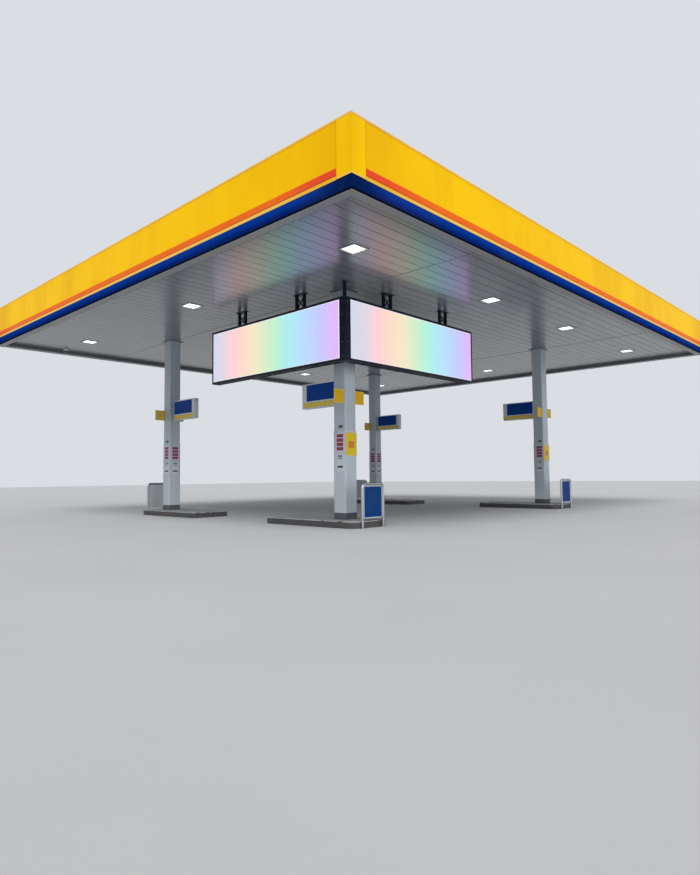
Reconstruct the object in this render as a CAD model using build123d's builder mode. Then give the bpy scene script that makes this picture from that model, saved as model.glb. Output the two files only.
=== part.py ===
from build123d import *
from math import sqrt
import os

os.makedirs("parts", exist_ok=True)

# A filling station canopy: four clad columns on kerbed islands carry a flat roof with a lit
# fascia, a panelled soffit with recessed lights, and a two-sided display hung round one column.
# X runs along the long side, Y along the short side, and Z is up from the ground.

# Roof outline and heights
roof_length = 18200
roof_width = 15400
underside_z = 5310
soffit_z = 5400
fascia_top_z = 6436

# Columns and their grid; the grid sits off the middle of the roof along X
column_width = 360
column_corner_radius = 25
column_spacing_x = 9600
column_spacing_y = 7500
grid_middle_x = -400
grid_middle_y = 0

# Column trim
sleeve_thickness = 12
sleeve_top_z = 2150
skirting_thickness = 16
skirting_height = 160
collar_width = 470
collar_thickness = 12

# Islands
island_height = 150
island_width = 1200
island_length = 2950
island_end_reach = 800
island_outer_radius = 250
island_inner_radius = 120
edging_thickness = 12

# Guard hoops and the boards in them
hoop_width = 680
hoop_height = 980
hoop_tube = 60
hoop_tube_sides = 12
hoop_bend_radius = 90
board_bottom_z = 205
board_thickness = 20
board_rim = 26
board_panel_recess = 5
seat_gap = 0.3

# Flag signs and number plates on the columns, and how much higher each column's hang than
# those of the nearest one
flag_length = 1150
flag_thickness = 130
flag_bottom_z = 2760
flag_height = 600
flag_corner_radius = 24
flag_standoff = 40
flag_arm_width = 60
flag_arm_inset = 90
knob_radius = 28
knob_length = 30
plate_width = 310
plate_thickness = 8
plate_bottom_z = 2775
plate_flange = 60
plate_setback = 30
sign_lifts = {"a1": 0, "a2": 140, "b1": 280, "b2": 280}

# Fascia: a light box over a dark valance, with a proud stripe and a cap
face_setback = 12
corner_box_width = 315
cap_height = 14
cap_depth = 70
cap_drip = 14
cap_drip_thickness = 5
valance_height = 190
valance_depth = 60
valance_skin = 6
stripe_gap = 66
stripe_height = 128
stripe_proud = 6
panel_joint_spacing = 1450
panel_joint_width = 6
panel_joint_depth = 4
mitre_gap = 3

# Edge trim under the roof, soffit panels and the strips over their joints
trim_width = 188
trim_thickness = 12
soffit_thickness = 30
soffit_edge_lap = 40
soffit_joint = 20
cover_strip_width = 80
cover_strip_thickness = 6
cutout_clearance = 1

# Recessed lights; the places are measured from the column lines
light_offsets_x = (-1860, 3050, -2370, 2450)
light_offsets_y = (-2070, -4030, 1750)
light_opening = 350
light_flange = 410
light_flange_thickness = 8
light_body_height = 100
light_wall = 4
lens_thickness = 6
lens_recess = 12

# Roof structure and sheeting
beam_depth = 360
beam_width = 170
beam_web = 10
beam_flange = 14
purlin_depth = 200
purlin_width = 80
purlin_web = 8
purlin_flange = 10
purlin_count = 7
purlin_edge_distance = 350
deck_thickness = 40
rib_height = 35
rib_pitch = 333
rib_base = 90
rib_top = 40

# Hung display: two arms meet at a corner post in front of one column
display_corner_x = -5930
display_corner_y = -4490
display_arm = 4980
display_bottom_z = 3620
display_height = 1400
screen_depth = 90
screen_bezel = 50
screen_lit_recess = 6
screen_end_margin = 10
post_width = 160
truss_depth = 140
truss_bar = 40
truss_bays = 8
hanger_offsets = (1600, 3850)
hanger_spacing = 260
hanger_post = 60
hanger_plate_length = 380
hanger_plate_width = 130
hanger_plate_thickness = 12

# Dome camera under the soffit, placed from the two nearest roof edges
camera_from_west = 2000
camera_from_north = 500
camera_dome_radius = 70
camera_sides = 16
camera_base_radius = 85
camera_base_height = 45

half_length = roof_length / 2
half_width = roof_width / 2
half_column = column_width / 2
column_x = (grid_middle_x - column_spacing_x / 2, grid_middle_x + column_spacing_x / 2)
column_y = (grid_middle_y - column_spacing_y / 2, grid_middle_y + column_spacing_y / 2)
box_inner_x = half_length - corner_box_width
box_inner_y = half_width - corner_box_width
trim_inner = face_setback + valance_depth + trim_width
soffit_edge = trim_inner - soffit_edge_lap
light_x = (column_x[0] + light_offsets_x[0], column_x[0] + light_offsets_x[1],
           column_x[1] + light_offsets_x[2], column_x[1] + light_offsets_x[3])
light_y = (column_y[0] + light_offsets_y[0], column_y[1] + light_offsets_y[1],
           column_y[1] + light_offsets_y[2])
soffit_top_z = soffit_z + soffit_thickness
beam_top_z = soffit_top_z + beam_depth
purlin_top_z = beam_top_z + purlin_depth
valance_top_z = underside_z + valance_height
box_top_z = fascia_top_z - cap_height
display_top_z = display_bottom_z + display_height

# Each bay of the grid: its name, its column centre, and outward, the way to its end of the island
bays = []
for row, x in zip("ab", column_x):
    for number, y, outward in zip("12", column_y, (-1, 1)):
        bays.append((row + number, x, y, outward))


def finish(piece, name):
    """Label a finished piece and write it."""
    piece.part.label = name
    export_step(piece.part, "parts/" + name + ".step")


def island_outline(x, y, outward, inset=0.0):
    """Draw one island's plan: larger rounded corners at the column's end."""
    end_y = y + outward * island_end_reach
    middle = end_y - outward * island_length / 2
    with Locations((x, middle)):
        Rectangle(island_width - 2 * inset, island_length - 2 * inset)
    outer = [v for v in vertices() if (v.Y - middle) * outward > 0]
    fillet(outer, island_outer_radius - inset)
    inner = vertices().sort_by(Axis.Y)[:2] if outward > 0 else vertices().sort_by(Axis.Y)[-2:]
    fillet(inner, island_inner_radius - inset)


def column_outline(x, y, extra=0.0):
    """Draw a column's rounded square, grown by extra on each side."""
    side = column_width + 2 * extra
    with Locations((x, y)):
        RectangleRounded(side, side, column_corner_radius + extra)


# The hole that fits round a column: its corners are cut straight, just clear of the rounding
with BuildSketch() as column_hole:
    Rectangle(column_width, column_width)
    chamfer(vertices(), column_corner_radius * (2 - sqrt(2)) - seat_gap)


def block(low, high, mode=Mode.ADD):
    """Add a box between two opposite corners."""
    size = [b - a for a, b in zip(low, high)]
    with Locations(tuple((a + b) / 2 for a, b in zip(low, high))):
        Box(*size, mode=mode)


# The four roof sides: outward direction, distance to the roof edge, and half the run
roof_sides = {
    "west": (Vector(-1, 0, 0), half_length, half_width),
    "south": (Vector(0, -1, 0), half_width, half_length),
    "east": (Vector(1, 0, 0), half_length, half_width),
    "north": (Vector(0, 1, 0), half_width, half_length),
}


def side_plane(side):
    """A plane across one roof side: local x runs inward from the roof edge, local y is height."""
    outward, distance, _ = roof_sides[side]
    return Plane(origin=outward * distance, x_dir=outward * -1,
                 z_dir=(outward * -1).cross(Vector(0, 0, 1)))


def mitred_run(side, *rectangles):
    """Run a section of rectangles (x0, z0, x1, z1) along one side and mitre both ends."""
    outward, distance, half_run = roof_sides[side]
    along = side_plane(side).z_dir
    with BuildPart() as run:
        with BuildSketch(side_plane(side)):
            for x0, z0, x1, z1 in rectangles:
                with Locations(((x0 + x1) / 2, (z0 + z1) / 2)):
                    Rectangle(x1 - x0, z1 - z0)
        extrude(amount=half_run, both=True)
        for end in (-1, 1):
            corner = outward * distance + along * (end * half_run)
            mitre = Plane(origin=corner, z_dir=outward - along * end).offset(mitre_gap / 2)
            split(bisect_by=mitre, keep=Keep.TOP)
    return run.part


# Kerbed islands: a concrete top inside a steel edging
for name, x, y, outward in bays:
    with BuildPart() as island:
        with BuildSketch(Plane.XY):
            island_outline(x, y, outward, edging_thickness)
        extrude(amount=island_height)
    finish(island, "island_" + name)

with BuildPart() as island_edging:
    for name, x, y, outward in bays:
        with BuildSketch(Plane.XY) as kerb:
            island_outline(x, y, outward)
        with BuildSketch(Plane.XY) as core:
            island_outline(x, y, outward, edging_thickness)
        extrude(kerb.sketch - core.sketch, amount=island_height)
finish(island_edging, "island_edging")

# Columns: square cladding with rounded corners, from the island up to the roof beam
for name, x, y, outward in bays:
    with BuildPart() as column:
        with BuildSketch(Plane.XY.offset(island_height)):
            column_outline(x, y)
        extrude(amount=soffit_top_z - island_height)
    finish(column, "column_" + name)


def column_rings(bottom, top, thickness):
    """Wrap a close ring of the given thickness round every column."""
    with BuildPart() as rings:
        for name, x, y, outward in bays:
            with BuildSketch(Plane.XY.offset(bottom)):
                column_outline(x, y, thickness)
                with Locations((x, y)):
                    add(column_hole.sketch, mode=Mode.SUBTRACT)
            extrude(amount=top - bottom)
    return rings


skirting_top_z = island_height + skirting_height
finish(column_rings(island_height, skirting_top_z, skirting_thickness), "column_skirtings")
finish(column_rings(skirting_top_z, sleeve_top_z, sleeve_thickness), "column_sleeves")

with BuildPart() as column_collars:
    with BuildSketch(Plane.XY.offset(soffit_z - collar_thickness)):
        for name, x, y, outward in bays:
            with Locations((x, y)):
                Rectangle(collar_width, collar_width)
                add(column_hole.sketch, mode=Mode.SUBTRACT)
    extrude(amount=collar_thickness)
finish(column_collars, "column_collars")

# Flag signs: a rounded box on two short arms, with a knob at its free end
for name, x, y, outward in bays:
    start = y - outward * (half_column + flag_standoff)
    middle_y = start - outward * flag_length / 2
    low_z = flag_bottom_z + sign_lifts[name]
    middle_z = low_z + flag_height / 2
    with BuildPart() as flag:
        with BuildSketch(Plane.YZ.offset(x)):
            with Locations((middle_y, middle_z)):
                RectangleRounded(flag_length, flag_height, flag_corner_radius)
        extrude(amount=flag_thickness / 2, both=True)
        for arm_z in (low_z + flag_arm_inset, low_z + flag_height - flag_arm_inset):
            near_y = y - outward * half_column
            with Locations((x, (near_y + start) / 2, arm_z)):
                Box(flag_arm_width, flag_standoff, flag_arm_width)
        knob_y = start - outward * (flag_length + knob_length / 2)
        with Locations((x, knob_y, low_z + flag_height - flag_arm_inset)):
            Cylinder(knob_radius, knob_length, rotation=(90, 0, 0))
    finish(flag, "flag_sign_" + name)

# Number plates: folded sheet, one on each side of every column, facing outward along Y
with BuildPart() as number_plates:
    for name, x, y, outward in bays:
        face_y = y + outward * (half_column - plate_setback)
        back_y = face_y - outward * plate_thickness
        flange_y = face_y - outward * plate_flange
        low_z = plate_bottom_z + sign_lifts[name]
        high_z = low_z + plate_width
        for side in (-1, 1):
            root_x = x + side * half_column
            tip_x = root_x + side * plate_width
            skin_x = root_x + side * plate_thickness
            block((min(root_x, tip_x), min(face_y, back_y), low_z),
                  (max(root_x, tip_x), max(face_y, back_y), high_z))
            block((min(root_x, skin_x), min(face_y, flange_y), low_z),
                  (max(root_x, skin_x), max(face_y, flange_y), high_z))
finish(number_plates, "number_plates")

# Guard hoops stand against the outer end of each island and hold a rimmed board
hoop_axis_height = hoop_height - hoop_tube / 2
hoop_half = hoop_width / 2
with BuildPart() as guard_hoops:
    for name, x, y, outward in bays:
        hoop_y = y + outward * (island_end_reach + hoop_tube / 2 + seat_gap)
        with BuildLine(Plane(origin=(x, hoop_y, 0), x_dir=(1, 0, 0), z_dir=(0, -1, 0))) as route:
            FilletPolyline((-hoop_half, 0), (-hoop_half, hoop_axis_height),
                           (hoop_half, hoop_axis_height), (hoop_half, 0), radius=hoop_bend_radius)
        with BuildSketch(Plane(origin=(x - hoop_half, hoop_y, 0))):
            RegularPolygon(hoop_tube / 2, hoop_tube_sides, major_radius=False,
                           rotation=180 / hoop_tube_sides)
        sweep(path=route.wires()[0])
finish(guard_hoops, "guard_hoops")

board_top_z = hoop_height - hoop_tube - seat_gap
board_half = hoop_half - hoop_tube / 2 - seat_gap
board_radius = hoop_bend_radius - hoop_tube / 2 - seat_gap
board_recess_cut = (board_radius - board_rim) * (2 - sqrt(2))


def board_outline(x, inset=0.0):
    """Draw a guard board's square outline, brought in by inset, and return its top corners."""
    low, high = board_bottom_z + inset, board_top_z - inset
    with Locations((x, (low + high) / 2)):
        Rectangle(2 * (board_half - inset), high - low)
    return vertices().group_by(Axis.Z)[-1]


with BuildPart() as guard_boards:
    for name, x, y, outward in bays:
        hoop_y = y + outward * (island_end_reach + hoop_tube / 2 + seat_gap)
        with BuildSketch(Plane.XZ.offset(-hoop_y)):
            fillet(board_outline(x), board_radius)
        extrude(amount=board_thickness / 2, both=True)
        recess_y = hoop_y + outward * (board_thickness - board_panel_recess) / 2
        with BuildSketch(Plane.XZ.offset(-recess_y)):
            chamfer(board_outline(x, board_rim), board_recess_cut)
        extrude(amount=board_panel_recess / 2, both=True, mode=Mode.SUBTRACT)
finish(guard_boards, "guard_boards")

# Roof beams along Y over the columns, and purlins along X on top of them
with BuildPart() as main_beams:
    with BuildSketch(Plane.XZ):
        for x in column_x:
            with Locations((x, soffit_top_z + beam_depth / 2)):
                Rectangle(beam_web, beam_depth)
            with Locations((x, soffit_top_z + beam_flange / 2), (x, beam_top_z - beam_flange / 2)):
                Rectangle(beam_width, beam_flange)
    extrude(amount=box_inner_y, both=True)
finish(main_beams, "main_beams")

purlin_pitch = 2 * (box_inner_y - purlin_edge_distance) / (purlin_count - 1)
with BuildPart() as purlins:
    with BuildSketch(Plane.YZ):
        with Locations((0, beam_top_z + purlin_depth / 2)):
            with GridLocations(purlin_pitch, 1, purlin_count, 1):
                Rectangle(purlin_web, purlin_depth)
        for flange_z in (beam_top_z + purlin_flange / 2, purlin_top_z - purlin_flange / 2):
            with Locations((0, flange_z)):
                with GridLocations(purlin_pitch, 1, purlin_count, 1):
                    Rectangle(purlin_width, purlin_flange)
    extrude(amount=box_inner_x, both=True)
finish(purlins, "purlins")

# Roof sheeting: flat under, with trapezoid ribs on top running along Y
rib_count = int((2 * box_inner_x - rib_base) // rib_pitch)
rib_lean = (rib_base - rib_top) / 2
with BuildPart() as roof_deck:
    with BuildSketch(Plane.XZ):
        with Locations((0, purlin_top_z + deck_thickness / 2)):
            Rectangle(2 * box_inner_x, deck_thickness)
        deck_top_z = purlin_top_z + deck_thickness
        for i in range(rib_count):
            middle = (i - (rib_count - 1) / 2) * rib_pitch
            with BuildLine():
                Polyline((middle - rib_base / 2, deck_top_z),
                         (middle - rib_base / 2 + rib_lean, deck_top_z + rib_height),
                         (middle + rib_base / 2 - rib_lean, deck_top_z + rib_height),
                         (middle + rib_base / 2, deck_top_z), close=True)
            make_face()
    extrude(amount=box_inner_y, both=True)
finish(roof_deck, "roof_deck")

# Fascia light boxes between the corner boxes, with narrow joints between their face panels
for side, (outward, distance, half_run) in roof_sides.items():
    half_box = half_run - corner_box_width
    joint_count = int(2 * half_box // panel_joint_spacing)
    with BuildPart() as fascia:
        with BuildSketch(side_plane(side)):
            with Locations(((face_setback + corner_box_width) / 2, (valance_top_z + box_top_z) / 2)):
                Rectangle(corner_box_width - face_setback, box_top_z - valance_top_z)
        extrude(amount=half_box, both=True)
        face_plane = side_plane(side)
        for i in range(joint_count):
            along = (i - (joint_count - 1) / 2) * panel_joint_spacing
            with BuildSketch(face_plane.offset(along)):
                with Locations((face_setback + panel_joint_depth / 2,
                                (valance_top_z + box_top_z) / 2)):
                    Rectangle(panel_joint_depth, box_top_z - valance_top_z)
            extrude(amount=panel_joint_width / 2, both=True, mode=Mode.SUBTRACT)
    finish(fascia, "fascia_" + side)

corner_low = cap_drip_thickness
corner_side = corner_box_width - corner_low
with BuildPart() as fascia_corners:
    with BuildSketch(Plane.XY.offset(valance_top_z)):
        for sx in (-1, 1):
            for sy in (-1, 1):
                with Locations((sx * (half_length - corner_low - corner_side / 2),
                                sy * (half_width - corner_low - corner_side / 2))):
                    Rectangle(corner_side, corner_side)
    extrude(amount=box_top_z - valance_top_z)
finish(fascia_corners, "fascia_corners")

# The raised stripe stops at the corner boxes
stripe_bottom_z = valance_top_z + stripe_gap
with BuildPart() as fascia_stripes:
    for side, (outward, distance, half_run) in roof_sides.items():
        with BuildSketch(side_plane(side)):
            with Locations((face_setback - stripe_proud / 2, stripe_bottom_z + stripe_height / 2)):
                Rectangle(stripe_proud, stripe_height)
        extrude(amount=half_run - corner_box_width, both=True)
finish(fascia_stripes, "fascia_stripes")

# Cap over the light boxes, with a thin drip edge in front of them
cap_runs = [mitred_run(side, (0, box_top_z, cap_depth, fascia_top_z),
                       (0, box_top_z - cap_drip, cap_drip_thickness, box_top_z))
            for side in roof_sides]
with BuildPart() as fascia_cap:
    add(cap_runs)
finish(fascia_cap, "fascia_cap")

# Dark valance under the light boxes: a folded channel that opens inward
valance_back = face_setback + valance_depth
valance_runs = [mitred_run(side, (face_setback, underside_z, face_setback + valance_skin, valance_top_z),
                           (face_setback, underside_z, valance_back, underside_z + valance_skin),
                           (face_setback, valance_top_z - valance_skin, valance_back, valance_top_z))
                for side in roof_sides]
with BuildPart() as valance:
    add(valance_runs)
finish(valance, "valance")

# Edge trim: a flat strip inside the valance with a lip up to the soffit
trim_runs = [mitred_run(side, (valance_back, underside_z, trim_inner, underside_z + trim_thickness),
                        (trim_inner - trim_thickness, underside_z, trim_inner, soffit_z))
             for side in roof_sides]
with BuildPart() as edge_trim:
    add(trim_runs)
finish(edge_trim, "edge_trim")

# Soffit in three bays split at the column lines, cut out for the columns and the lights
bay_edges = (soffit_edge - half_length, *column_x, half_length - soffit_edge)
for i in range(3):
    low = bay_edges[i] + (soffit_joint / 2 if i > 0 else 0)
    high = bay_edges[i + 1] - (soffit_joint / 2 if i < 2 else 0)
    with BuildPart() as soffit:
        with BuildSketch(Plane.XY.offset(soffit_z)):
            with Locations(((low + high) / 2, 0)):
                Rectangle(high - low, 2 * (half_width - soffit_edge))
            with Locations([(x, y) for x in column_x for y in column_y]):
                Rectangle(column_width + 2 * cutout_clearance, column_width + 2 * cutout_clearance,
                          mode=Mode.SUBTRACT)
            with Locations([(x, y) for x in light_x for y in light_y if low < x < high]):
                Rectangle(light_opening + 2 * cutout_clearance, light_opening + 2 * cutout_clearance,
                          mode=Mode.SUBTRACT)
        extrude(amount=soffit_thickness)
    finish(soffit, "soffit_bay_" + str(i + 1))

# Strips over the soffit joints, between the column collars
strip_end = half_width - trim_inner
strip_stops = (-strip_end, column_y[0] - collar_width / 2, column_y[0] + collar_width / 2,
               column_y[1] - collar_width / 2, column_y[1] + collar_width / 2, strip_end)
with BuildPart() as cover_strips:
    for x in column_x:
        for low, high in zip(strip_stops[::2], strip_stops[1::2]):
            block((x - cover_strip_width / 2, low, soffit_z - cover_strip_thickness),
                  (x + cover_strip_width / 2, high, soffit_z))
finish(cover_strips, "cover_strips")

# Recessed lights: a flanged housing with its lens set back inside
light_places = [(x, y) for x in light_x for y in light_y]
light_inside = light_opening - 2 * light_wall
with BuildPart() as downlights:
    with BuildSketch(Plane.XY.offset(soffit_z - light_flange_thickness)):
        with Locations(light_places):
            Rectangle(light_flange, light_flange)
    extrude(amount=light_flange_thickness)
    with BuildSketch(Plane.XY.offset(soffit_z)):
        with Locations(light_places):
            Rectangle(light_opening, light_opening)
    extrude(amount=light_body_height)
    with BuildSketch(Plane.XY.offset(soffit_z - light_flange_thickness)):
        with Locations(light_places):
            Rectangle(light_inside, light_inside)
    extrude(amount=light_flange_thickness + light_body_height - light_wall, mode=Mode.SUBTRACT)
finish(downlights, "downlights")

lens_side = light_inside - 2 * seat_gap
with BuildPart() as light_lenses:
    with BuildSketch(Plane.XY.offset(soffit_z - light_flange_thickness + lens_recess)):
        with Locations(light_places):
            Rectangle(lens_side, lens_side)
    extrude(amount=lens_thickness)
finish(light_lenses, "light_lenses")

# Display, right arm first: it runs along X from the corner with its depth along Y
truss_start = screen_depth + truss_depth
arm_mirror = Plane(origin=(display_corner_x, display_corner_y, 0), z_dir=(1, -1, 0))


def arm_block(a0, d0, z0, a1, d1, z1, mode=Mode.ADD):
    """Add a box given along the arm (a), into its depth (d) and above its bottom (z)."""
    block((display_corner_x + a0, display_corner_y + d0, display_bottom_z + z0),
          (display_corner_x + a1, display_corner_y + d1, display_bottom_z + z1), mode)


def mirrored_arm(piece, name):
    """Write the left arm's piece as the mirror image of the right arm's."""
    with BuildPart() as other:
        mirror(piece.part, about=arm_mirror)
    finish(other, name)


with BuildPart() as display_screen_right:
    arm_block(post_width, 0, 0, display_arm, screen_depth, display_height)
    arm_block(post_width + screen_end_margin, 0, screen_bezel, display_arm - screen_bezel,
              screen_lit_recess, display_height - screen_bezel, Mode.SUBTRACT)
finish(display_screen_right, "display_screen_right")
mirrored_arm(display_screen_right, "display_screen_left")

# The truss behind each screen: four chords, rungs, uprights and two planes of diagonals
bay_length = (display_arm - truss_bar - truss_start) / truss_bays
rear = truss_start - truss_bar
top = display_height - truss_bar
with BuildPart() as display_frame_right:
    for d in (screen_depth, rear):
        for z in (0, top):
            arm_block(truss_start, d, z, display_arm, d + truss_bar, z + truss_bar)
    for i in range(truss_bays + 1):
        a = truss_start + i * bay_length
        for z in (0, top):
            arm_block(a, screen_depth, z, a + truss_bar, truss_start, z + truss_bar)
        arm_block(a, rear, 0, a + truss_bar, truss_start, display_height)
    with BuildSketch(Plane.XZ.offset(-(display_corner_y + rear))):
        for i in range(truss_bays):
            a = display_corner_x + truss_start + i * bay_length
            z0, z1 = display_bottom_z, display_top_z - truss_bar
            if i % 2:
                z0, z1 = z1, z0
            with BuildLine():
                Polyline((a, z0), (a + bay_length, z1), (a + bay_length, z1 + truss_bar),
                         (a, z0 + truss_bar), close=True)
            make_face()
    extrude(amount=-truss_bar)
    with BuildSketch(Plane.XY.offset(display_bottom_z)):
        for i in range(truss_bays):
            a = display_corner_x + truss_start + i * bay_length
            y0, y1 = display_corner_y + screen_depth, display_corner_y + rear
            if i % 2:
                y0, y1 = y1, y0
            with BuildLine():
                Polyline((a, y0), (a + truss_bar, y0), (a + bay_length + truss_bar, y1 + truss_bar),
                         (a + bay_length, y1 + truss_bar), close=True)
            make_face()
    extrude(amount=truss_bar)
finish(display_frame_right, "display_frame_right")
mirrored_arm(display_frame_right, "display_frame_left")

# Corner post: stepped, so that both screens butt against it and both trusses start from it
with BuildPart() as display_corner_post:
    with BuildSketch(Plane(origin=(display_corner_x, display_corner_y, display_bottom_z))):
        Rectangle(post_width, post_width, align=(Align.MIN, Align.MIN))
        with Locations((screen_depth, screen_depth)):
            Rectangle(truss_depth, truss_depth, align=(Align.MIN, Align.MIN))
    extrude(amount=display_height)
finish(display_corner_post, "display_corner_post")

# Hangers: twin posts between a foot plate on the truss and a head plate at the soffit
hang_height = soffit_z - display_bottom_z
hang_middle = screen_depth + truss_depth / 2
with BuildPart() as hangers_right:
    for a in hanger_offsets:
        for z0, z1 in ((display_height, display_height + hanger_plate_thickness),
                       (hang_height - hanger_plate_thickness, hang_height)):
            arm_block(a - hanger_plate_length / 2, hang_middle - hanger_plate_width / 2, z0,
                      a + hanger_plate_length / 2, hang_middle + hanger_plate_width / 2, z1)
        for offset in (-hanger_spacing / 2, hanger_spacing / 2):
            arm_block(a + offset - hanger_post / 2, hang_middle - hanger_post / 2, display_height,
                      a + offset + hanger_post / 2, hang_middle + hanger_post / 2, hang_height)
with BuildPart() as hanger_corner:
    arm_block(hang_middle - hanger_post / 2, hang_middle - hanger_post / 2, display_height,
              hang_middle + hanger_post / 2, hang_middle + hanger_post / 2, hang_height)
    arm_block(hang_middle - hanger_plate_width / 2, hang_middle - hanger_plate_width / 2,
              hang_height - hanger_plate_thickness,
              hang_middle + hanger_plate_width / 2, hang_middle + hanger_plate_width / 2, hang_height)
with BuildPart() as display_hangers:
    add(hangers_right.part)
    mirror(hangers_right.part, about=arm_mirror)
    add(hanger_corner.part)
finish(display_hangers, "display_hangers")

# Dome camera: a flat base over a dome with few sides, its lower edge cut back at 45 degrees
camera_x = camera_from_west - half_length
camera_y = half_width - camera_from_north
dome_top_z = soffit_z - camera_base_height
with BuildPart() as dome_camera:
    with BuildSketch(Plane(origin=(camera_x, camera_y, dome_top_z))):
        RegularPolygon(camera_base_radius, camera_sides, major_radius=False)
    extrude(amount=camera_base_height)
    with BuildSketch(Plane(origin=(camera_x, camera_y, dome_top_z))):
        RegularPolygon(camera_dome_radius, camera_sides, major_radius=False)
    extrude(amount=-camera_dome_radius)
    chamfer(faces().sort_by(Axis.Z)[0].edges(), camera_dome_radius * (2 - sqrt(2)))
finish(dome_camera, "dome_camera")
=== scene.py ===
import math

import bmesh
import bpy
from mathutils import Matrix, Vector


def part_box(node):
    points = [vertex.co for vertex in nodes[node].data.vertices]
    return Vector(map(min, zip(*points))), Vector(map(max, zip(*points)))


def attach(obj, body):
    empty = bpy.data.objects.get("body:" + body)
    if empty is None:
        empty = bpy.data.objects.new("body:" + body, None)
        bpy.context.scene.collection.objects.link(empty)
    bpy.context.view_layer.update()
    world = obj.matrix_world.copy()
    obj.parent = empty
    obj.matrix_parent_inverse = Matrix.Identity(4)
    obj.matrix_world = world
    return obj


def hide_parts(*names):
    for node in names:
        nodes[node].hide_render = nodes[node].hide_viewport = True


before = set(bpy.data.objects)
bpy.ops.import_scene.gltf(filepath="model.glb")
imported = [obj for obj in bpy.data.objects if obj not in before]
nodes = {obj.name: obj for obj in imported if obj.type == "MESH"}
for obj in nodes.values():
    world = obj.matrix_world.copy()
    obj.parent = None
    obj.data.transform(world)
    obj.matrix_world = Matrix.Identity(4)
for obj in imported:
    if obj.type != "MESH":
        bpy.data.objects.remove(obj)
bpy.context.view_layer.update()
body = "root"

# Camera: it stands low in front of the canopy's near corner and looks slightly up along the
# diagonal of the roof.
photo_width_px = 700
focal_length_px = 627.6
sensor_width = 36.0
view_depth = 500
camera_place = Vector((-15.534, -13.729, 1.11))
yaw = math.radians(46.463)
pitch = math.radians(3.581)
roll = math.radians(0.565)
level_ahead = Vector((math.sin(yaw), math.cos(yaw), 0))
level_right = Vector((math.cos(yaw), -math.sin(yaw), 0))
upright = Vector((0, 0, 1))
forward = level_ahead * math.cos(pitch) + upright * math.sin(pitch)
lifted = upright * math.cos(pitch) - level_ahead * math.sin(pitch)
camera_right = level_right * math.cos(roll) - lifted * math.sin(roll)
camera_up = level_right * math.sin(roll) + lifted * math.cos(roll)
camera_data = bpy.data.cameras.new("photo_camera")
camera_data.sensor_fit = "HORIZONTAL"
camera_data.sensor_width = sensor_width
camera_data.lens = sensor_width * focal_length_px / photo_width_px
camera_data.clip_end = view_depth
camera = bpy.data.objects.new("photo_camera", camera_data)
turn = Matrix((camera_right, camera_up, -forward)).transposed()
camera.matrix_world = Matrix.Translation(camera_place) @ turn.to_4x4()
scene = bpy.context.scene
scene.collection.objects.link(camera)
scene.camera = camera
scene.view_settings.view_transform = "Standard"


# Studio: a pale floor under a pale even sky, one broad soft lamp from the camera's side and a
# weaker, low one from the right that reaches in under the roof.
def feed(socket, value):
    """Give a node's input another node's output, a colour, or a plain value."""
    if isinstance(value, bpy.types.NodeSocket):
        socket.id_data.links.new(value, socket)
    elif socket.type == "RGBA":
        socket.default_value = (*value, 1)
    else:
        socket.default_value = value


def add(kind, inputs=(), tree=None, **settings):
    """Add a shader node beside the nodes that feed it, and set its properties and inputs."""
    inputs = dict(inputs)
    for value in inputs.values():
        if isinstance(value, bpy.types.NodeSocket):
            tree = value.id_data
    node = tree.nodes.new("ShaderNode" + kind)
    for key, value in settings.items():
        setattr(node, key, value)
    for key, value in inputs.items():
        feed(node.inputs[key], value)
    return node


def work(operation, a, b=0.0):
    """The result of a Math node."""
    return add("Math", {0: a, 1: b}, operation=operation).outputs[0]


def blend(share, low, high):
    """A colour between two, by a share from 0 to 1."""
    return add("Mix", {0: share, 6: low, 7: high}, data_type="RGBA").outputs[2]


def noise(place, scale, detail=3.0, stretch=None):
    """Noise of so many features to a metre, squeezed along the axes where stretch says."""
    if stretch:
        place = add("Mapping", {"Vector": place, "Scale": stretch}).outputs[0]
    return add("TexNoise", {"Vector": place, "Scale": scale, "Detail": detail}).outputs[0]


def new_material(name, shine=0.5):
    """Start a material: it, the inputs of its surface with so much shine, and its coordinates."""
    made = bpy.data.materials.new(name)
    made.use_nodes = True
    surface = made.node_tree.nodes["Principled BSDF"].inputs
    surface["Specular IOR Level"].default_value = shine
    return made, surface, add("TexCoord", tree=made.node_tree).outputs["Object"]


floor_half = 90.0
floor_drop = 0.002
floor_colour = (0.58, 0.585, 0.59)
floor_tint = (0.64, 0.645, 0.65)
sky_colour = (0.86, 0.88, 0.92)
shown_sky_colour = (0.70, 0.73, 0.77)
sky_strength = 0.42
key_strength = 2.1
fill_strength = 0.65

floor_shape = bmesh.new()
bmesh.ops.create_grid(floor_shape, x_segments=8, y_segments=8, size=floor_half,
                      matrix=Matrix.Translation((0, 0, -floor_drop)))
floor_mesh = bpy.data.meshes.new("studio_floor")
floor_shape.to_mesh(floor_mesh)
floor_shape.free()
studio_floor = bpy.data.objects.new("studio_floor", floor_mesh)
scene.collection.objects.link(studio_floor)
floor_material, surface, place = new_material("studio floor", shine=0.2)
feed(surface["Base Color"], blend(noise(place, 0.4), floor_colour, floor_tint))
surface["Roughness"].default_value = 0.9
floor_mesh.materials.append(floor_material)

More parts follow.
